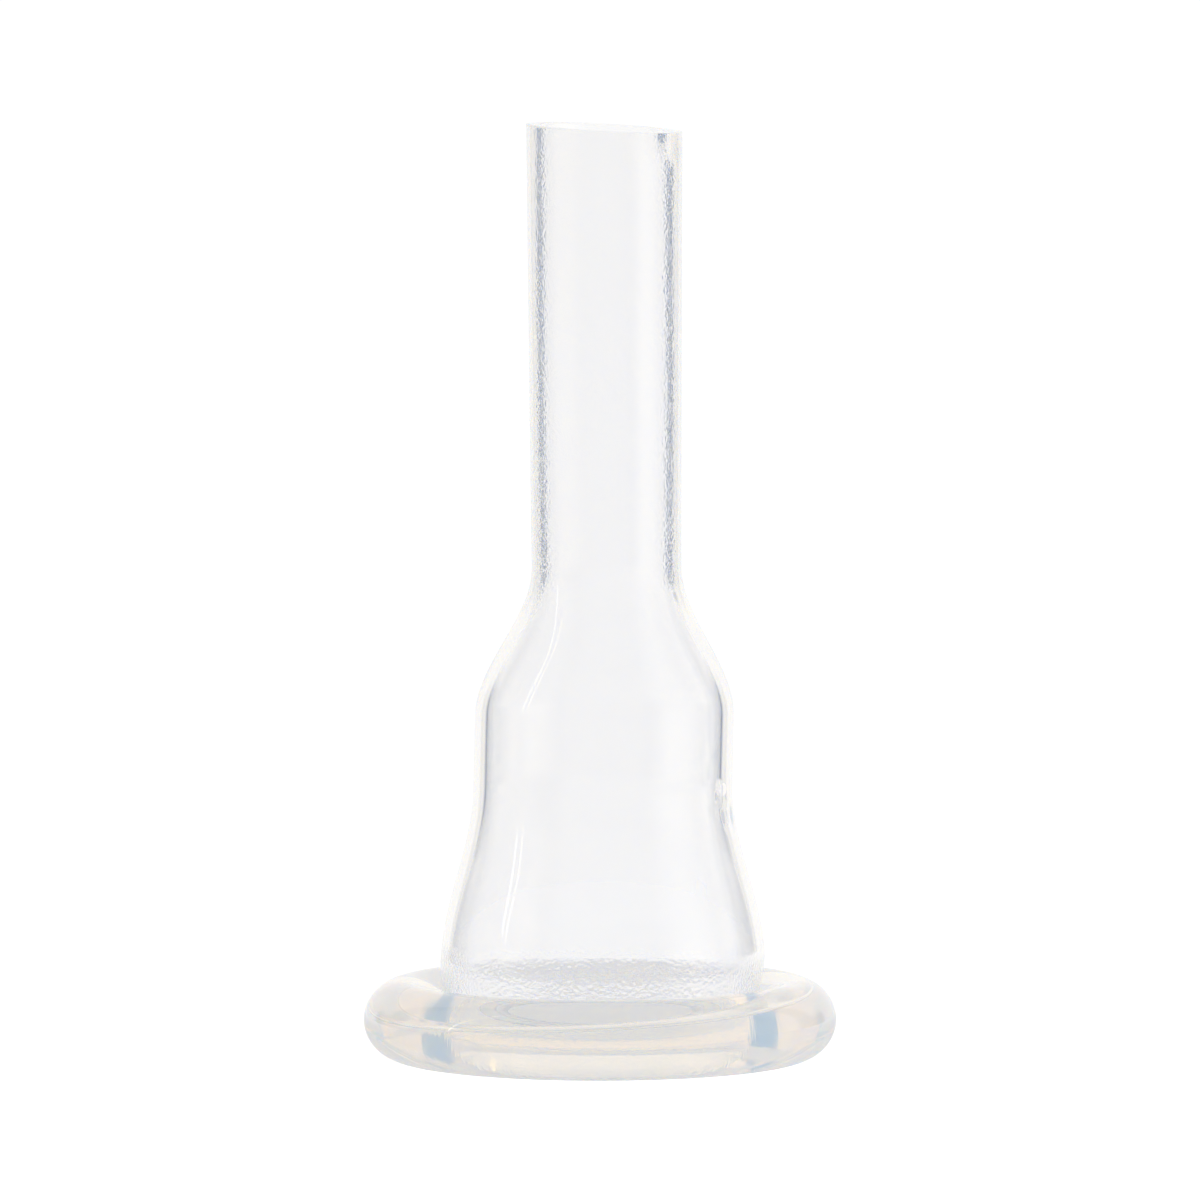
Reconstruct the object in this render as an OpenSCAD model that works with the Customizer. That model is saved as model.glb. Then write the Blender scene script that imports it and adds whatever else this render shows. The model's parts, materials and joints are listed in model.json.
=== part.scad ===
// Rolled external urinary sheath: a silicone moulding of outlet tube, funnel, bulb and flared skirt,
// with its thin sheath wound up into a ring round the foot.
// Millimetres. +Z runs up the outlet tube. The origin is at the middle of the ring's underside.

/* [Sheath] */
// Inner diameter of the unrolled sheath, its nominal size
sheath_d = 25; // [25:0.5:32]
// Length of film wound up in the ring
rolled_len = 75; // [60:1:90]
// Thickness of the sheath film
film_t = 0.4; // [0.3:0.05:0.5]
// Thickness of the adhesive between two turns
adhesive_t = 0.05; // [0.03:0.01:0.1]
// Radius of the hollow at the core of the roll
core_r = 0.3; // [0.2:0.05:0.5]
// Depth by which the ring is pressed flat where it stands
flat_depth = 0.05; // [0.02:0.01:0.1]

/* [Outlet] */
// Height of the highest point of the mouth
mouth_z = 76.5; // [70:0.5:84]
// Outer diameter at the mouth
mouth_d = 12.76; // [12:0.02:13.5]
// Outer diameter at the foot of the tube
tube_d = 12.24; // [11.5:0.02:13]
// Bore that takes the drainage connector
socket_d = 10.3; // [9.5:0.1:10.8]
// Depth of that bore before it begins to taper
socket_depth = 24; // [18:1:30]
// Bore at the foot of the tube
throat_d = 10; // [9:0.1:10.3]
// Slant of the cut across the mouth, in degrees
mouth_slant = 3; // [0:0.5:6]

/* [Bulb and skirt] */
// Height where the tube ends and the funnel begins
tube_z = 40.3; // [38:0.1:44]
// Height where the funnel ends and the bulb begins
bulb_top_z = 28.2; // [26:0.1:31]
// Height where the bulb ends and the skirt begins
bulb_bottom_z = 22.4; // [20:0.1:25]
// Height of the widest point of the skirt
brim_z = 8; // [7.5:0.1:9]
// Height where the skirt has thinned down to film
film_z = 5; // [4.8:0.1:6]
// Outer diameter of the bulb
bulb_d = 21.16; // [20:0.02:22]
// Outer diameter at the widest point of the skirt
brim_d = 26.56; // [26:0.02:27]
// Wall of the bulb
bulb_wall = 1.05; // [0.8:0.05:1.3]
// Wall at the widest point of the skirt
brim_wall = 0.8; // [0.6:0.05:1]

/* [Hidden] */

round_fn = 96;
eps = 0.01;

silicone = [0.93, 0.94, 0.96, 0.55];
film = [0.95, 0.93, 0.89, 0.6];
adhesive = [0.98, 0.93, 0.80, 0.8];

sheath_r = sheath_d / 2;
pitch = film_t + adhesive_t;

// Radius of the roll's outer face where the film runs onto it. The film's middle line then winds in
// to the core over exactly the rolled length, at one pitch a turn.
film_area = rolled_len * pitch / PI;
roll_r = (film_t + sqrt(film_t * film_t + 4 * (film_area + core_r * core_r + core_r * film_t))) / 2;
roll_axis_r = sheath_r + roll_r;

// The winding starts on the hole side of the ring and runs down, outwards, up and over.
// Its underside, a quarter turn in, is pressed flat on the ground.
wind_start = 180;
wind_step = 15;
roll_z = roll_r - pitch / 4 - flat_depth;
wind_steps = floor((roll_r - film_t - core_r) / pitch * 360 / wind_step);
steps_per_turn = 360 / wind_step;

// The outer turn is bare outside, to roll the ring by, and so is the last half turn at the free end.
bare_first = steps_per_turn;
bare_last = steps_per_turn / 2;

function ease(t) = t * t * (3 - 2 * t);
function between(z, z_a, z_b) = ease(min(1, max(0, (z_a - z) / (z_a - z_b))));
function step_value(z, z_a, a, z_b, b) = a + (b - a) * between(z, z_a, z_b);

// Outer radius of the moulding below the tube: two smooth steps out, then one step in to the film.
function outer_r(z) =
    z >= bulb_bottom_z ? step_value(z, tube_z, tube_d / 2, bulb_top_z, bulb_d / 2)
    : z >= brim_z ? step_value(z, bulb_bottom_z, bulb_d / 2, brim_z, brim_d / 2)
    : step_value(z, brim_z, brim_d / 2, film_z, sheath_r + film_t);

function wall(z) =
    z >= bulb_bottom_z ? step_value(z, tube_z, (tube_d - throat_d) / 2, bulb_top_z, bulb_wall)
    : z >= brim_z ? step_value(z, bulb_bottom_z, bulb_wall, brim_z, brim_wall)
    : step_value(z, brim_z, brim_wall, film_z, film_t);

function inner_r(z) = outer_r(z) - wall(z);

// A band of the moulding between two heights, as a turned section.
module turned_wall(z_high, z_low, steps) {
    heights = [for (i = [0:steps]) z_high + (z_low - z_high) * i / steps];
    outside = [for (z = heights) [outer_r(z), z]];
    inside = [for (i = [steps:-1:0]) [inner_r(heights[i]), heights[i]]];
    rotate_extrude($fn = round_fn)
        polygon(concat(outside, inside));
}

// A point on the winding, counted in steps from its start, at a depth under the outer face of its turn.
function wind_r(step) = roll_r - pitch * step * wind_step / 360;
function wind_point(step, depth) =
    let (angle = wind_start + step * wind_step)
    let (r = wind_r(step) - depth)
    [roll_axis_r + r * cos(angle), roll_z + r * sin(angle)];

// A wound band, first step to last, between two depths under the film's outer face.
module wound_band(first, last, outer_depth, inner_depth) {
    outward = [for (i = [first:last]) wind_point(i, outer_depth)];
    inward = [for (i = [last:-1:first]) wind_point(i, inner_depth)];
    rotate_extrude($fn = round_fn)
        polygon(concat(outward, inward));
}

module below_ground() {
    reach = roll_axis_r + roll_r + 1;
    translate([-reach, -reach, -roll_r])
        cube([2 * reach, 2 * reach, roll_r]);
}

// Everything above the slanted cut across the mouth, which is highest at -X.
module above_mouth() {
    size = 2 * mouth_d;
    translate([-mouth_d / 2, 0, mouth_z])
        rotate([0, mouth_slant, 0])
            translate([-size / 2, -size / 2, 0])
                cube([2 * size, size, size]);
}

module outlet_tube() {
    height = mouth_z - tube_z;
    socket_z = mouth_z - socket_depth;
    color(silicone)
        difference() {
            translate([0, 0, tube_z])
                cylinder(r1 = tube_d / 2, r2 = mouth_d / 2, h = height, $fn = round_fn);
            translate([0, 0, socket_z])
                cylinder(r = socket_d / 2, h = socket_depth + eps, $fn = round_fn);
            translate([0, 0, tube_z])
                cylinder(r1 = throat_d / 2, r2 = socket_d / 2, h = socket_z - tube_z, $fn = round_fn);
            above_mouth();
        }
}

module funnel() {
    color(silicone) turned_wall(tube_z, bulb_top_z, 14);
}

module bulb() {
    color(silicone) turned_wall(bulb_top_z, bulb_bottom_z, 1);
}

module flared_skirt() {
    color(silicone) {
        turned_wall(bulb_bottom_z, brim_z, 12);
        turned_wall(brim_z, film_z, 6);
    }
}

module sheath_wall() {
    color(film)
        difference() {
            translate([0, 0, roll_z])
                cylinder(r = sheath_r + film_t, h = film_z - roll_z, $fn = round_fn);
            translate([0, 0, roll_z - eps])
                cylinder(r = sheath_r, h = film_z - roll_z + 2 * eps, $fn = round_fn);
        }
}

// The turn that the ring is rolled on by. It closes all round the turns inside it.
module outer_turn() {
    color(film)
        difference() {
            wound_band(0, steps_per_turn, 0, film_t);
            below_ground();
        }
}

module inner_turns() {
    color(film)
        wound_band(steps_per_turn, wind_steps, 0, film_t);
}

module adhesive_layer() {
    color(adhesive)
        wound_band(bare_first, wind_steps - bare_last, -adhesive_t, 0);
}

outlet_tube();
funnel();
bulb();
flared_skirt();
sheath_wall();
outer_turn();
inner_turns();
adhesive_layer();
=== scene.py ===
"""Looks for a rolled external urinary sheath: one clear silicone moulding on its rolled-up sheath."""

import json
import math

import bpy
import numpy as np
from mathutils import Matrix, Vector


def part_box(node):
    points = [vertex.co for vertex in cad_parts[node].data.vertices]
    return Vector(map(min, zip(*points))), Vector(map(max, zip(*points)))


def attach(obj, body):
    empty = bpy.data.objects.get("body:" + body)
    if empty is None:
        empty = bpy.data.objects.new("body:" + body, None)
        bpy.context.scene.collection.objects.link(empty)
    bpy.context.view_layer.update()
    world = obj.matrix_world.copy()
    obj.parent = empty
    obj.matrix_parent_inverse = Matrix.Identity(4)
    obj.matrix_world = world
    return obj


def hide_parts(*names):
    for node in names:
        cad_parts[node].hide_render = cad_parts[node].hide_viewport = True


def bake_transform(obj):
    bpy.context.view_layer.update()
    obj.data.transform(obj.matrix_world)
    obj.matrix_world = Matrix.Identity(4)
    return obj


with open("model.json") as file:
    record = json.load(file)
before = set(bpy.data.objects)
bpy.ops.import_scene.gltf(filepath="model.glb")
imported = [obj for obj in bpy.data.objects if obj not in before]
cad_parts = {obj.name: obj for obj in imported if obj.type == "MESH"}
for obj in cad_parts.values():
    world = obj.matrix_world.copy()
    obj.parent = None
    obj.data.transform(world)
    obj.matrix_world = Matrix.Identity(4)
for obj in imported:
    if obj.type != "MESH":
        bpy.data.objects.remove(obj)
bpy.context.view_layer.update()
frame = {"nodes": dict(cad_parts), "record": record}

MM = 0.001
SEGMENTS = 192    # corners round a turned shape


# ---- Places and sizes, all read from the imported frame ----


def rim(node, z):
    """Least and greatest radius of a turned CAD node's corners at a height."""
    co = np.array([v.co for v in frame["nodes"][node].data.vertices])
    level = co[np.abs(co[:, 2] - z) < 0.01 * MM]
    radii = np.hypot(level[:, 0], level[:, 1])
    return radii.min(), radii.max()


mounts = {m["name"]: m for m in frame["record"]["mounts"]}
tube_low, tube_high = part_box("outlet_tube")
bulb_low, bulb_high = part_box("bulb")
_, skirt_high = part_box("flared_skirt")
film_low, film_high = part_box("sheath_wall")
_, turn_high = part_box("outer_turn")

MOUTH_Z, TUBE_Z = tube_high.z, tube_low.z
BULB_TOP_Z, BULB_BOTTOM_Z = bulb_high.z, bulb_low.z
FILM_Z, ROLL_Z = film_high.z, film_low.z
SOCKET_R = mounts["outlet"]["dims"]["r_mm"] * MM
SHEATH_R = mounts["sheath_opening"]["dims"]["r_mm"] * MM
FILM_T = film_high.x - SHEATH_R
THROAT_R, TUBE_R = rim("outlet_tube", TUBE_Z)
BULB_BORE_R, BULB_R = rim("bulb", BULB_BOTTOM_Z)
BRIM_R = skirt_high.x
MOUTH_R = -tube_low.x
SOCKET_Z = MOUTH_Z - mounts["outlet"]["dims"]["length_mm"] * MM

skirt_co = np.array([v.co for v in frame["nodes"]["flared_skirt"].data.vertices])
brim_ring = skirt_co[np.hypot(skirt_co[:, 0], skirt_co[:, 1]) > BRIM_R - 0.005 * MM]
BRIM_Z = brim_ring[:, 2].mean()
BRIM_BORE_R = rim("flared_skirt", BRIM_Z)[0]

tube_co = np.array([v.co for v in frame["nodes"]["outlet_tube"].data.vertices])
right_lip_z = tube_co[tube_co[:, 0] > MOUTH_R - 0.05 * MM][:, 2].max()
MOUTH_SLOPE = (MOUTH_Z - right_lip_z) / (2 * MOUTH_R)


# ---- Turned shapes ----


def ease(t):
    """Goes from 0 to 1 with level ends."""
    t = np.clip(t, 0, 1)
    return t * t * (3 - 2 * t)


def step(z, z_a, a, z_b, b):
    """Goes smoothly from a at z_a down to b at z_b."""
    return a + (b - a) * ease((z_a - z) / (z_a - z_b))


def outer_r(z):
    """Outer radius of the moulding at a height."""
    if z >= TUBE_Z:
        return TUBE_R + (MOUTH_R - TUBE_R) * (z - TUBE_Z) / (MOUTH_Z - TUBE_Z)
    if z >= BULB_BOTTOM_Z:
        return step(z, TUBE_Z, TUBE_R, BULB_TOP_Z, BULB_R)
    if z >= BRIM_Z:
        return step(z, BULB_BOTTOM_Z, BULB_R, BRIM_Z, BRIM_R)
    return step(z, BRIM_Z, BRIM_R, FILM_Z, SHEATH_R + FILM_T)


def wall(z):
    """Wall thickness from the funnel down. The tube's wall comes from its bore instead."""
    if z >= BULB_BOTTOM_Z:
        return step(z, TUBE_Z, TUBE_R - THROAT_R, BULB_TOP_Z, BULB_R - BULB_BORE_R)
    if z >= BRIM_Z:
        return step(z, BULB_BOTTOM_Z, BULB_R - BULB_BORE_R, BRIM_Z, BRIM_R - BRIM_BORE_R)
    return step(z, BRIM_Z, BRIM_R - BRIM_BORE_R, FILM_Z, FILM_T)


def inner_r(z):
    """Inner radius of the moulding at a height."""
    if z >= SOCKET_Z:
        return SOCKET_R
    if z >= TUBE_Z:
        return THROAT_R + (SOCKET_R - THROAT_R) * (z - TUBE_Z) / (SOCKET_Z - TUBE_Z)
    return outer_r(z) - wall(z)


def arc(r, z, radius, start, end, steps):
    """Points round a centre in the turned section, from one angle to another, in degrees."""
    turns = [math.radians(start + (end - start) * i / steps) for i in range(steps + 1)]
    return [(r + radius * math.cos(a), z + radius * math.sin(a)) for a in turns]


def lathe(name, loops, warp=None):
    """A mesh turned from closed loops of (radius, height), with an optional warp of its corners.

    With the radius to the right and the height upwards, a loop runs anticlockwise round silicone
    and clockwise round a gap in it.
    """
    angles = np.arange(SEGMENTS) * 2 * math.pi / SEGMENTS
    points, quads, first = [], [], 0
    for loop in loops:
        r, z = np.array(loop).T
        n = len(loop)
        x = np.outer(r, np.cos(angles))
        y = np.outer(r, np.sin(angles))
        points.append(np.stack([x, y, np.repeat(z[:, None], SEGMENTS, 1)], 2).reshape(-1, 3))
        i = np.repeat(np.arange(n), SEGMENTS)
        j = np.tile(np.arange(SEGMENTS), n)
        k, m = (i + 1) % n, (j + 1) % SEGMENTS
        corners = [i * SEGMENTS + j, i * SEGMENTS + m, k * SEGMENTS + m, k * SEGMENTS + j]
        quads.append(np.stack(corners, 1) + first)
        first += n * SEGMENTS
    co = np.concatenate(points)
    if warp:
        co = warp(co)
    mesh = bpy.data.meshes.new(name)
    mesh.from_pydata(co.tolist(), [], np.concatenate(quads).tolist())
    mesh.shade_smooth()
    piece = bpy.data.objects.new(name, mesh)
    bpy.context.scene.collection.objects.link(piece)
    return piece


# ---- Materials ----


def link(nt, value, socket):
    """Joins a node's output to a socket, or sets the socket to a number."""
    if isinstance(value, (int, float)):
        socket.default_value = value
    else:
        nt.links.new(value, socket)


def math_node(nt, operation, *values):
    node = nt.nodes.new("ShaderNodeMath")
    node.operation = operation
    for value, socket in zip(values, node.inputs):
        link(nt, value, socket)
    return node.outputs[0]


HAZE = 150.0                      # scattering of blue light per metre of silicone
HAZE_TINT = (0.28, 0.5, 1.0)     # small particles scatter red light far less
CLEAR_TINT = (0.966, 0.972, 0.992)
IOR = 1.41
NOISE_DETAIL = 2.0


def noise_bump(nt, size, strength, amount):
    """A fine random relief: its grain in metres, its strength, and how much of it shows where."""
    coord = nt.nodes.new("ShaderNodeTexCoord")
    noise = nt.nodes.new("ShaderNodeTexNoise")
    noise.inputs["Scale"].default_value = 1 / size
    noise.inputs["Detail"].default_value = NOISE_DETAIL
    link(nt, coord.outputs["Object"], noise.inputs["Vector"])
    bump = nt.nodes.new("ShaderNodeBump")
    bump.inputs["Strength"].default_value = strength
    bump.inputs["Distance"].default_value = size
    link(nt, math_node(nt, "MULTIPLY", noise.outputs["Fac"], amount), bump.inputs["Height"])
    return bump.outputs[0]


def silicone(name, tint=CLEAR_TINT, grain=0.3 * MM, relief=0.12, smooth=0.02, frosted=0.05):
    """Clear silicone with a blue haze inside, frosted where the mesh's frost attribute is 1."""
    mat = bpy.data.materials.new(name)
    mat.use_nodes = True
    nt = mat.node_tree
    p = nt.nodes["Principled BSDF"]
    p.inputs["Base Color"].default_value = (*tint, 1)
    p.inputs["Transmission Weight"].default_value = 1.0
    p.inputs["IOR"].default_value = IOR
    frost = nt.nodes.new("ShaderNodeAttribute")
    frost.attribute_name = "frost"
    roughness = math_node(nt, "MULTIPLY_ADD", frost.outputs["Fac"], frosted - smooth, smooth)
    link(nt, roughness, p.inputs["Roughness"])
    link(nt, noise_bump(nt, grain, relief, frost.outputs["Fac"]), p.inputs["Normal"])
    scatter = nt.nodes.new("ShaderNodeVolumeScatter")
    scatter.phase = "RAYLEIGH"
    scatter.inputs["Color"].default_value = (*HAZE_TINT, 1)
    scatter.inputs["Density"].default_value = HAZE
    link(nt, scatter.outputs[0], nt.nodes["Material Output"].inputs["Volume"])
    return mat


def frost(piece, amount):
    """Stores how frosted each corner of a piece is, from its radius and height."""
    co = np.array([v.co for v in piece.data.vertices])
    layer = piece.data.attributes.new("frost", "FLOAT", "POINT")
    layer.data.foreach_set("value", amount(np.hypot(co[:, 0], co[:, 1]), co[:, 2]).astype(np.float32))


# ---- The sheath: tube, funnel, bulb, skirt and the film down to the roll, one moulding ----

OVERLAP = 0.02 * MM       # how far the film's end runs into the roll
TUBE_RINGS = 300
FILM_RINGS = 60

# How far the soft moulding leans towards +X, in millimetres, at heights in millimetres
LEAN = ((4, 0.0), (9, 0.25), (22, 0.22), (30, 0.4), (38, 0.55), (46, 0.49), (76.5, 0.35))
LEAN_Z = [z * MM for z, _ in LEAN]
LEAN_X = [x * MM for _, x in LEAN]


def heights(high, low, count):
    return [high + (low - high) * i / count for i in range(count + 1)]


# Faint ridges round the inside: height and depth in millimetres
RIDGES = ((31.4, 0.012), (21.9, 0.012), (16.8, 0.014))
RIDGE_WIDE = 1.3 * MM

# Small puckers in the wall: degrees round from +X, then height, depth and half-width in millimetres
PUCKERS = (
    (-22, 21.6, 0.11, 0.5), (-27, 20.7, 0.08, 0.45), (-16, 20.2, 0.07, 0.6), (-35, 25.5, 0.05, 0.5),
    (-48, 15.7, 0.1, 0.45), (-133, 10.2, 0.1, 0.5),
)
PUCKER_TALL = 1.6         # height of a pucker, of its width
PUCKER_INSIDE = 0.4       # depth of a pucker on the inner face, of its depth outside
SKIN = 0.2 * MM           # corners deeper than this under the outer face belong to the inner one
PINCH = 0.085             # how far the bore narrows at the mouth on its +X side, of its radius
PINCH_DEEP = 3.2 * MM
SLANT_DEEP = 10 * MM      # how far down from the mouth its slant fades out
LIP_OUT, LIP_IN = 0.06 * MM, 0.22 * MM     # rounding of the mouth's two edges
LIP_OUT_STEPS, LIP_IN_STEPS = 5, 8

# Where the inside is frosted: in the bore down to a height, and between two heights at the skirt's foot
BORE_FROST_IN, BORE_FROST_OUT = SOCKET_R + 0.5 * MM, SOCKET_R + 0.7 * MM
BORE_FROST_LOW, BORE_FROST_FADE = 33 * MM, 6 * MM
FOOT_FROST_IN, FOOT_FROST_OUT = SHEATH_R + 0.1 * MM, SHEATH_R + 0.2 * MM
FOOT_FROST_LOW, FOOT_FROST_HIGH = 5.5 * MM, 10 * MM
FOOT_FADE_LOW, FOOT_FADE_HIGH = 1 * MM, 2.5 * MM
FOOT_FROST = 2.5          # how much duller than the bore the foot is


def shape_wall(co):
    """Adds what a turned shape lacks: ridges inside, puckers, and the pinch in the mouth's bore."""
    r, z = np.hypot(co[:, 0], co[:, 1]), co[:, 2]
    round_to = np.degrees(np.arctan2(co[:, 1], co[:, 0]))
    outer = np.array([outer_r(min(h, MOUTH_Z)) for h in z])
    is_inner = r < outer - SKIN
    push = np.zeros_like(r)
    for height, depth in RIDGES:
        push -= is_inner * depth * MM * np.exp(-(((z - height * MM) / RIDGE_WIDE) ** 2))
    for degrees, height, depth, size in PUCKERS:
        across = np.radians((round_to - degrees + 180) % 360 - 180) * r
        away = np.hypot(across, (z - height * MM) / PUCKER_TALL) / (size * MM)
        push -= depth * MM * np.where(is_inner, PUCKER_INSIDE, 1.0) * np.exp(-(away**2))
    to_right = np.clip(co[:, 0] / r, 0, 1) ** 2
    push -= is_inner * PINCH * r * to_right * ease((z - (MOUTH_Z - PINCH_DEEP)) / PINCH_DEEP)
    co[:, :2] *= (1 + push / r)[:, None]
    return co


def bend(co):
    """Slants the mouth and gives the soft tube its slight lean."""
    co = shape_wall(co)
    x, z = co[:, 0].copy(), co[:, 2].copy()
    near_mouth = ease((z - (MOUTH_Z - SLANT_DEEP)) / SLANT_DEEP)
    co[:, 2] -= MOUTH_SLOPE * (x + MOUTH_R) * near_mouth
    co[:, 0] += np.interp(z, LEAN_Z, LEAN_X)
    return co


def inside_frost(r, z):
    """Finely frosted inside the tube, fading out down the funnel, and round the foot of the skirt."""
    in_bore = np.interp(r, (BORE_FROST_IN, BORE_FROST_OUT), (1, 0))
    in_foot = np.interp(r, (FOOT_FROST_IN, FOOT_FROST_OUT), (1, 0))
    bore = in_bore * ease((z - BORE_FROST_LOW) / BORE_FROST_FADE)
    foot_low = ease((z - FOOT_FROST_LOW) / FOOT_FADE_LOW)
    foot_high = ease((FOOT_FROST_HIGH - z) / FOOT_FADE_HIGH)
    return np.maximum(bore, FOOT_FROST * in_foot * foot_low * foot_high)


def sheath():
    """The whole moulding, one closed skin from the film's end up round the mouth and down the inside."""
    top = MOUTH_Z - LIP_OUT
    top_in = MOUTH_Z - LIP_IN
    film_foot = ROLL_Z - OVERLAP
    film_out = [(SHEATH_R + FILM_T, z) for z in heights(film_foot, FILM_Z, FILM_RINGS)]
    outside = [(outer_r(z), z) for z in heights(FILM_Z, top, TUBE_RINGS)]
    over_out = arc(MOUTH_R - LIP_OUT, top, LIP_OUT, 0, 90, LIP_OUT_STEPS)
    over_in = arc(SOCKET_R + LIP_IN, top_in, LIP_IN, 90, 180, LIP_IN_STEPS)
    over = over_out + over_in
    inside = [(inner_r(z), z) for z in heights(top_in, FILM_Z, TUBE_RINGS)]
    film_in = [(SHEATH_R, z) for z in heights(FILM_Z, film_foot, FILM_RINGS)]
    loop = film_out[:-1] + outside + over[1:-1] + inside + film_in[1:]
    piece = lathe("silicone_sheath", [loop], bend)
    piece.data.materials.append(silicone("clear_silicone"))
    frost(piece, inside_frost)
    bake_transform(piece)
    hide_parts("outlet_tube", "funnel", "bulb", "flared_skirt", "sheath_wall")


PITCH = 0.45 * MM                              # one turn of film and its adhesive
ROLL_R = (turn_high.x - SHEATH_R + PITCH / 2) / 2
ROLL_AXIS_R = SHEATH_R + ROLL_R
SQUASH = ROLL_Z / (ROLL_R - PITCH / 4)         # the roll's own weight flattens its lower half a little
CORE_WIDE, CORE_HIGH = 0.75 * MM, 0.16 * MM    # half the size of the flat gap in the middle of the roll
CORE_LIFT = 0.65 * MM
CORE_LIFT_REACH = 1.1                          # how far round the gap its lift reaches, of its half-width
TURN_STEPS, CORE_STEPS = 96, 32
UNDERSIDE_Z, UNDERSIDE_FADE = 0.5 * MM, 0.4 * MM
HOLE_SIDE_WIDE, HOLE_SIDE_FADE = 1.0 * MM, 0.8 * MM
HOLE_FROST = 0.15                              # how dull the hole's side is, against the underside
ROLL_TINT = (0.98, 0.972, 0.959)


def lift_core(co):
    """The gap in the middle of the roll lies level with it at -X and rises round to +X."""
    r = np.hypot(co[:, 0], co[:, 1])
    in_core = np.hypot(r - ROLL_AXIS_R, co[:, 2] - ROLL_Z) < CORE_WIDE * CORE_LIFT_REACH
    co[in_core, 2] += CORE_LIFT * (1 + co[in_core, 0] / r[in_core])
    return co


def roll_frost(r, z):
    """The roll lies on its underside, which is a little dull. The side round its hole is slightly wavy."""
    underside = ease((UNDERSIDE_Z - z) / UNDERSIDE_FADE)
    hole_side = ease((SHEATH_R + HOLE_SIDE_WIDE - r) / HOLE_SIDE_FADE)
    return np.maximum(underside, HOLE_FROST * hole_side)


def roll():
    """The wound sheath as one solid, drawing in by one pitch on its way round, with a gap in its core."""
    loop = []
    for i in range(TURN_STEPS + 1):
        a = math.pi + 2 * math.pi * i / TURN_STEPS
        r = ROLL_R - PITCH * i / TURN_STEPS
        squash = SQUASH if math.sin(a) < 0 else 1.0
        loop.append((ROLL_AXIS_R + r * math.cos(a), ROLL_Z + squash * r * math.sin(a)))
    circle = arc(0, 0, 1.0, 360, 0, CORE_STEPS)[:-1]
    core = [(ROLL_AXIS_R + r * CORE_WIDE, ROLL_Z + z * CORE_HIGH) for r, z in circle]
    piece = lathe("wound_sheath", [loop, core], lift_core)
    material = silicone("wound_silicone", ROLL_TINT, grain=0.4 * MM, relief=0.2, frosted=0.2)
    piece.data.materials.append(material)
    frost(piece, roll_frost)
    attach(piece, "rolled_sheath")
    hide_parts("outer_turn", "inner_turns", "adhesive_layer")


# ---- Studio ----

AIM_DROP = 0.65 * MM
AIM = Vector((0, 0, MOUTH_Z / 2 - AIM_DROP))
CAMERA_AWAY = 1.33
CAMERA_HIGH = 0.149
FRAME_WIDTH = 0.0978     # width in view at the object
SENSOR = 36


def camera():
    """A long lens from the front, a little above."""
    data = bpy.data.cameras.new("camera")
    cam = bpy.data.objects.new("camera", data)
    bpy.context.scene.collection.objects.link(cam)
    cam.location = (0, -CAMERA_AWAY, CAMERA_HIGH)
    look = AIM - cam.location
    cam.rotation_euler = look.to_track_quat("-Z", "Y").to_euler()
    data.sensor_width = SENSOR
    data.lens = SENSOR * look.length / FRAME_WIDTH
    data.clip_start = 0.01
    bpy.context.scene.camera = cam


FLOOR_Z = -0.05 * MM     # a hair under the roll, as faces that touch render dark
FLOOR_GREY = 0.8
FLOOR_ROUGH = 0.9
FLOOR_R = 0.19
FLOOR_CORNERS = 96
FLOOR_SHOWN = 0.62       # glow that the camera sees, which makes the floor white

# Painted light: floor glow that lights and shows through the object, dimmer near it and in front as a
# painted shade round its foot: near it and in front, and further back
GLOW_FROM, GLOW_TO = 0.012, 0.08
GLOW_NEAR, GLOW_FAR = 0.2, 0.46

# The studio's walls, near the horizon and higher up: degrees from straight behind the object (0) round
# to behind the camera (180), and their grey. White panels stand behind, left and right, with dark gaps
# between them. A narrow bright strip on the left makes the thin streaks on the bell.
LOW_WALLS = (
    (-180, 0.6), (-144, 0.6), (-138, 0.3), (-118, 0.3), (-112, 0.7), (-68, 0.8),
    (-62, 0.28), (-40, 0.28), (-35, 1.02), (35, 1.04), (40, 0.22), (63, 0.22),
    (67, 1.2), (76, 1.2), (84, 0.85), (104, 1.6), (120, 1.6), (138, 0.6), (180, 0.6),
)
HIGH_WALLS = (
    (-180, 0.6), (-144, 0.6), (-138, 0.4), (-128, 0.4), (-122, 0.75),
    (-100.3, 0.75), (-100.1, 6.5), (-99, 6.5), (-98.8, 0.75), (-68, 0.75),
    (-62, 0.3), (-54, 0.3), (-48, 1.01), (48, 1.03), (54, 0.3), (62, 0.3),
    (66, 1.1), (76, 1.1), (84, 0.85), (104, 1.4), (120, 1.3), (138, 0.6), (180, 0.6),
)
# Sine of a direction's height where the low walls give way to the high ones
HIGH_FROM, HIGH_TO = 0.12, 0.24
# How the walls dim towards the zenith: the same sine, and brightness as a share of the wall's
ROOF = ((0.3, 1.0), (1.0, 0.7))
BACKDROP = 1.05

# Light is lost inside clear hazy silicone with fewer bounces than this
BOUNCES = 96
VOLUME_BOUNCES = 32


def mix_node(nt, factor, a, b):
    """Goes from a to b as the factor goes from 0 to 1."""
    mix = nt.nodes.new("ShaderNodeMix")
    for value, name in ((factor, "Factor"), (a, "A"), (b, "B")):
        link(nt, value, mix.inputs[name])
    return mix.outputs["Result"]


def ramp_node(nt, factor, greys):
    """A colour ramp through (place, grey) stops."""
    node = nt.nodes.new("ShaderNodeValToRGB")
    link(nt, factor, node.inputs[0])
    stops = node.color_ramp.elements
    while len(stops) < len(greys):
        stops.new(0.5)
    for stop, (place, grey) in zip(stops, greys):
        stop.position = place
        stop.color = (grey, grey, grey, 1)
    return node.outputs[0]


def camera_sees(nt, shown, otherwise):
    """One value for the camera's own rays and another for the light that falls on things."""
    path = nt.nodes.new("ShaderNodeLightPath")
    return mix_node(nt, path.outputs["Is Camera Ray"], otherwise, shown)


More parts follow.
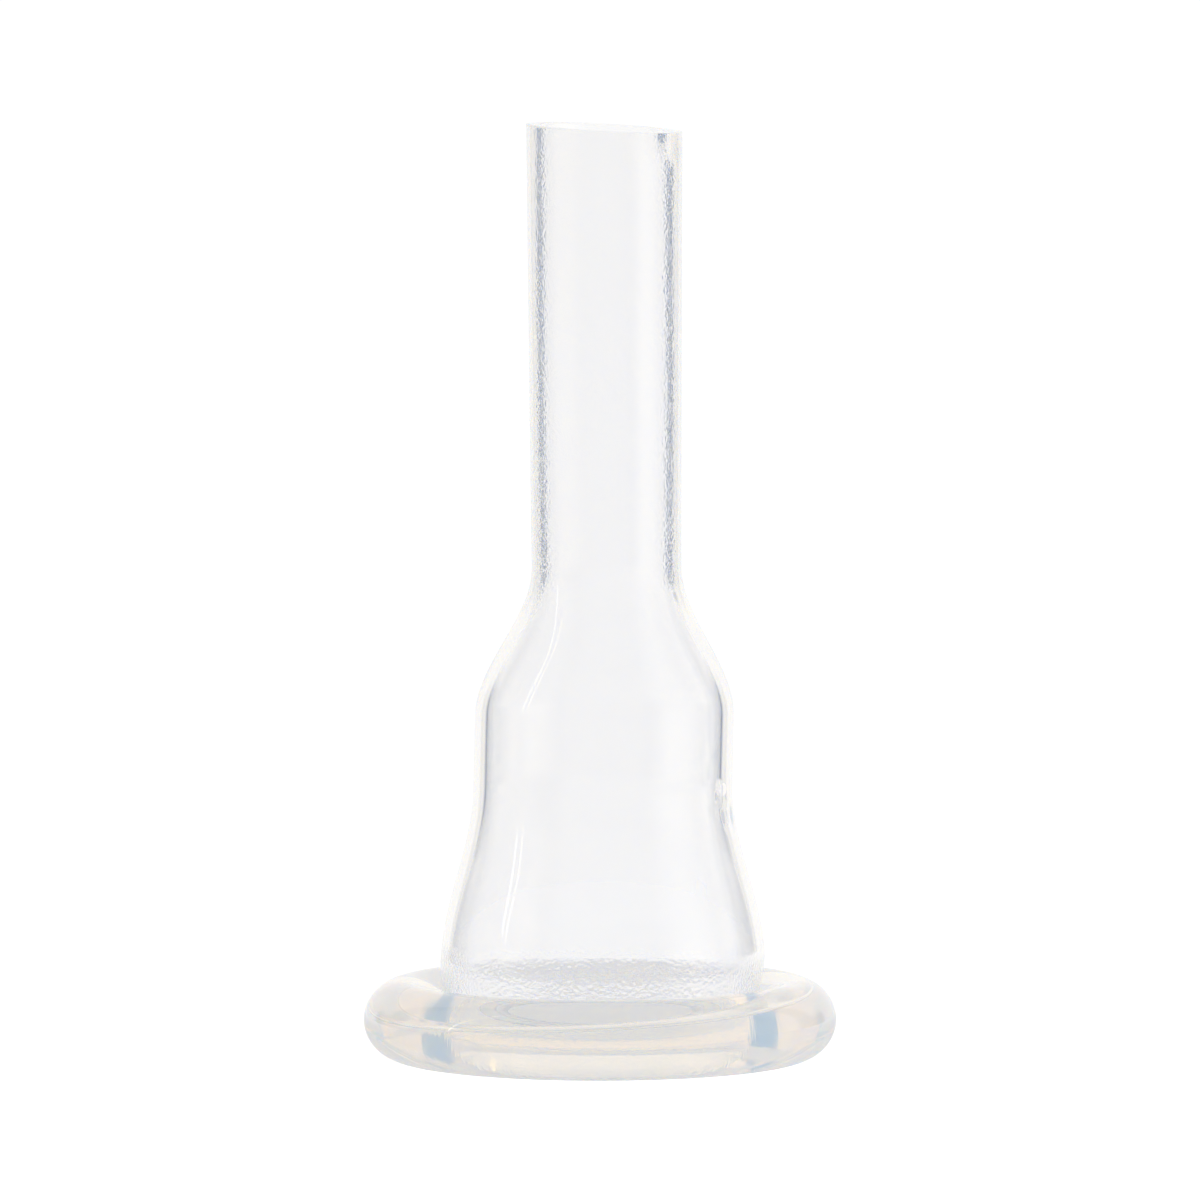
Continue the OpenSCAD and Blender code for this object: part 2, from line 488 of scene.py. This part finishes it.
def floor():
    """A pale disc that glows softly and reads as plain white."""
    bpy.ops.mesh.primitive_circle_add(vertices=FLOOR_CORNERS, radius=FLOOR_R, fill_type="NGON")
    disc = bpy.context.object
    disc.name = "floor"
    disc.location.z = FLOOR_Z
    mat = bpy.data.materials.new("floor")
    mat.use_nodes = True
    nt = mat.node_tree
    p = nt.nodes["Principled BSDF"]
    p.inputs["Base Color"].default_value = (FLOOR_GREY, FLOOR_GREY, FLOOR_GREY, 1)
    p.inputs["Roughness"].default_value = FLOOR_ROUGH
    p.inputs["Emission Color"].default_value = (1, 1, 1, 1)
    coord = nt.nodes.new("ShaderNodeTexCoord")
    place = nt.nodes.new("ShaderNodeSeparateXYZ")
    link(nt, coord.outputs["Object"], place.inputs[0])
    far = nt.nodes.new("ShaderNodeMapRange")
    far.interpolation_type = "SMOOTHSTEP"
    link(nt, place.outputs["Y"], far.inputs["Value"])
    far.inputs["From Min"].default_value = GLOW_FROM
    far.inputs["From Max"].default_value = GLOW_TO
    far.inputs["To Min"].default_value = GLOW_NEAR
    far.inputs["To Max"].default_value = GLOW_FAR
    # Painted light: the floor glows for every ray but the camera's, and is dimmer near the object as a
    # painted shade
    link(nt, camera_sees(nt, FLOOR_SHOWN, far.outputs[0]), p.inputs["Emission Strength"])
    disc.data.materials.append(mat)


def studio():
    """White panels round the object with dark gaps between them. The camera sees a plain white backdrop."""
    scene = bpy.context.scene
    scene.view_settings.view_transform = "Standard"
    scene.cycles.max_bounces = BOUNCES
    scene.cycles.transmission_bounces = BOUNCES
    scene.cycles.glossy_bounces = BOUNCES
    scene.cycles.volume_bounces = VOLUME_BOUNCES
    scene.cycles.blur_glossy = 0
    scene.cycles.sample_clamp_indirect = 0
    world = bpy.data.worlds.new("studio")
    scene.world = world
    world.use_nodes = True
    nt = world.node_tree
    coord = nt.nodes.new("ShaderNodeTexCoord")
    parts = nt.nodes.new("ShaderNodeSeparateXYZ")
    link(nt, coord.outputs["Generated"], parts.inputs[0])
    angle = math_node(nt, "ARCTAN2", parts.outputs["X"], parts.outputs["Y"])
    turn = math_node(nt, "MULTIPLY_ADD", angle, 1 / (2 * math.pi), 0.5)
    low = ramp_node(nt, turn, [(degrees / 360 + 0.5, grey) for degrees, grey in LOW_WALLS])
    high = ramp_node(nt, turn, [(degrees / 360 + 0.5, grey) for degrees, grey in HIGH_WALLS])
    height = nt.nodes.new("ShaderNodeMapRange")
    link(nt, parts.outputs["Z"], height.inputs["Value"])
    height.inputs["From Min"].default_value = HIGH_FROM
    height.inputs["From Max"].default_value = HIGH_TO
    walls = mix_node(nt, height.outputs[0], low, high)
    light = math_node(nt, "MULTIPLY", walls, ramp_node(nt, parts.outputs["Z"], ROOF))
    background = nt.nodes["Background"]
    background.inputs["Color"].default_value = (1, 1, 1, 1)
    link(nt, camera_sees(nt, BACKDROP, light), background.inputs["Strength"])


camera()
sheath()
roll()
floor()
studio()
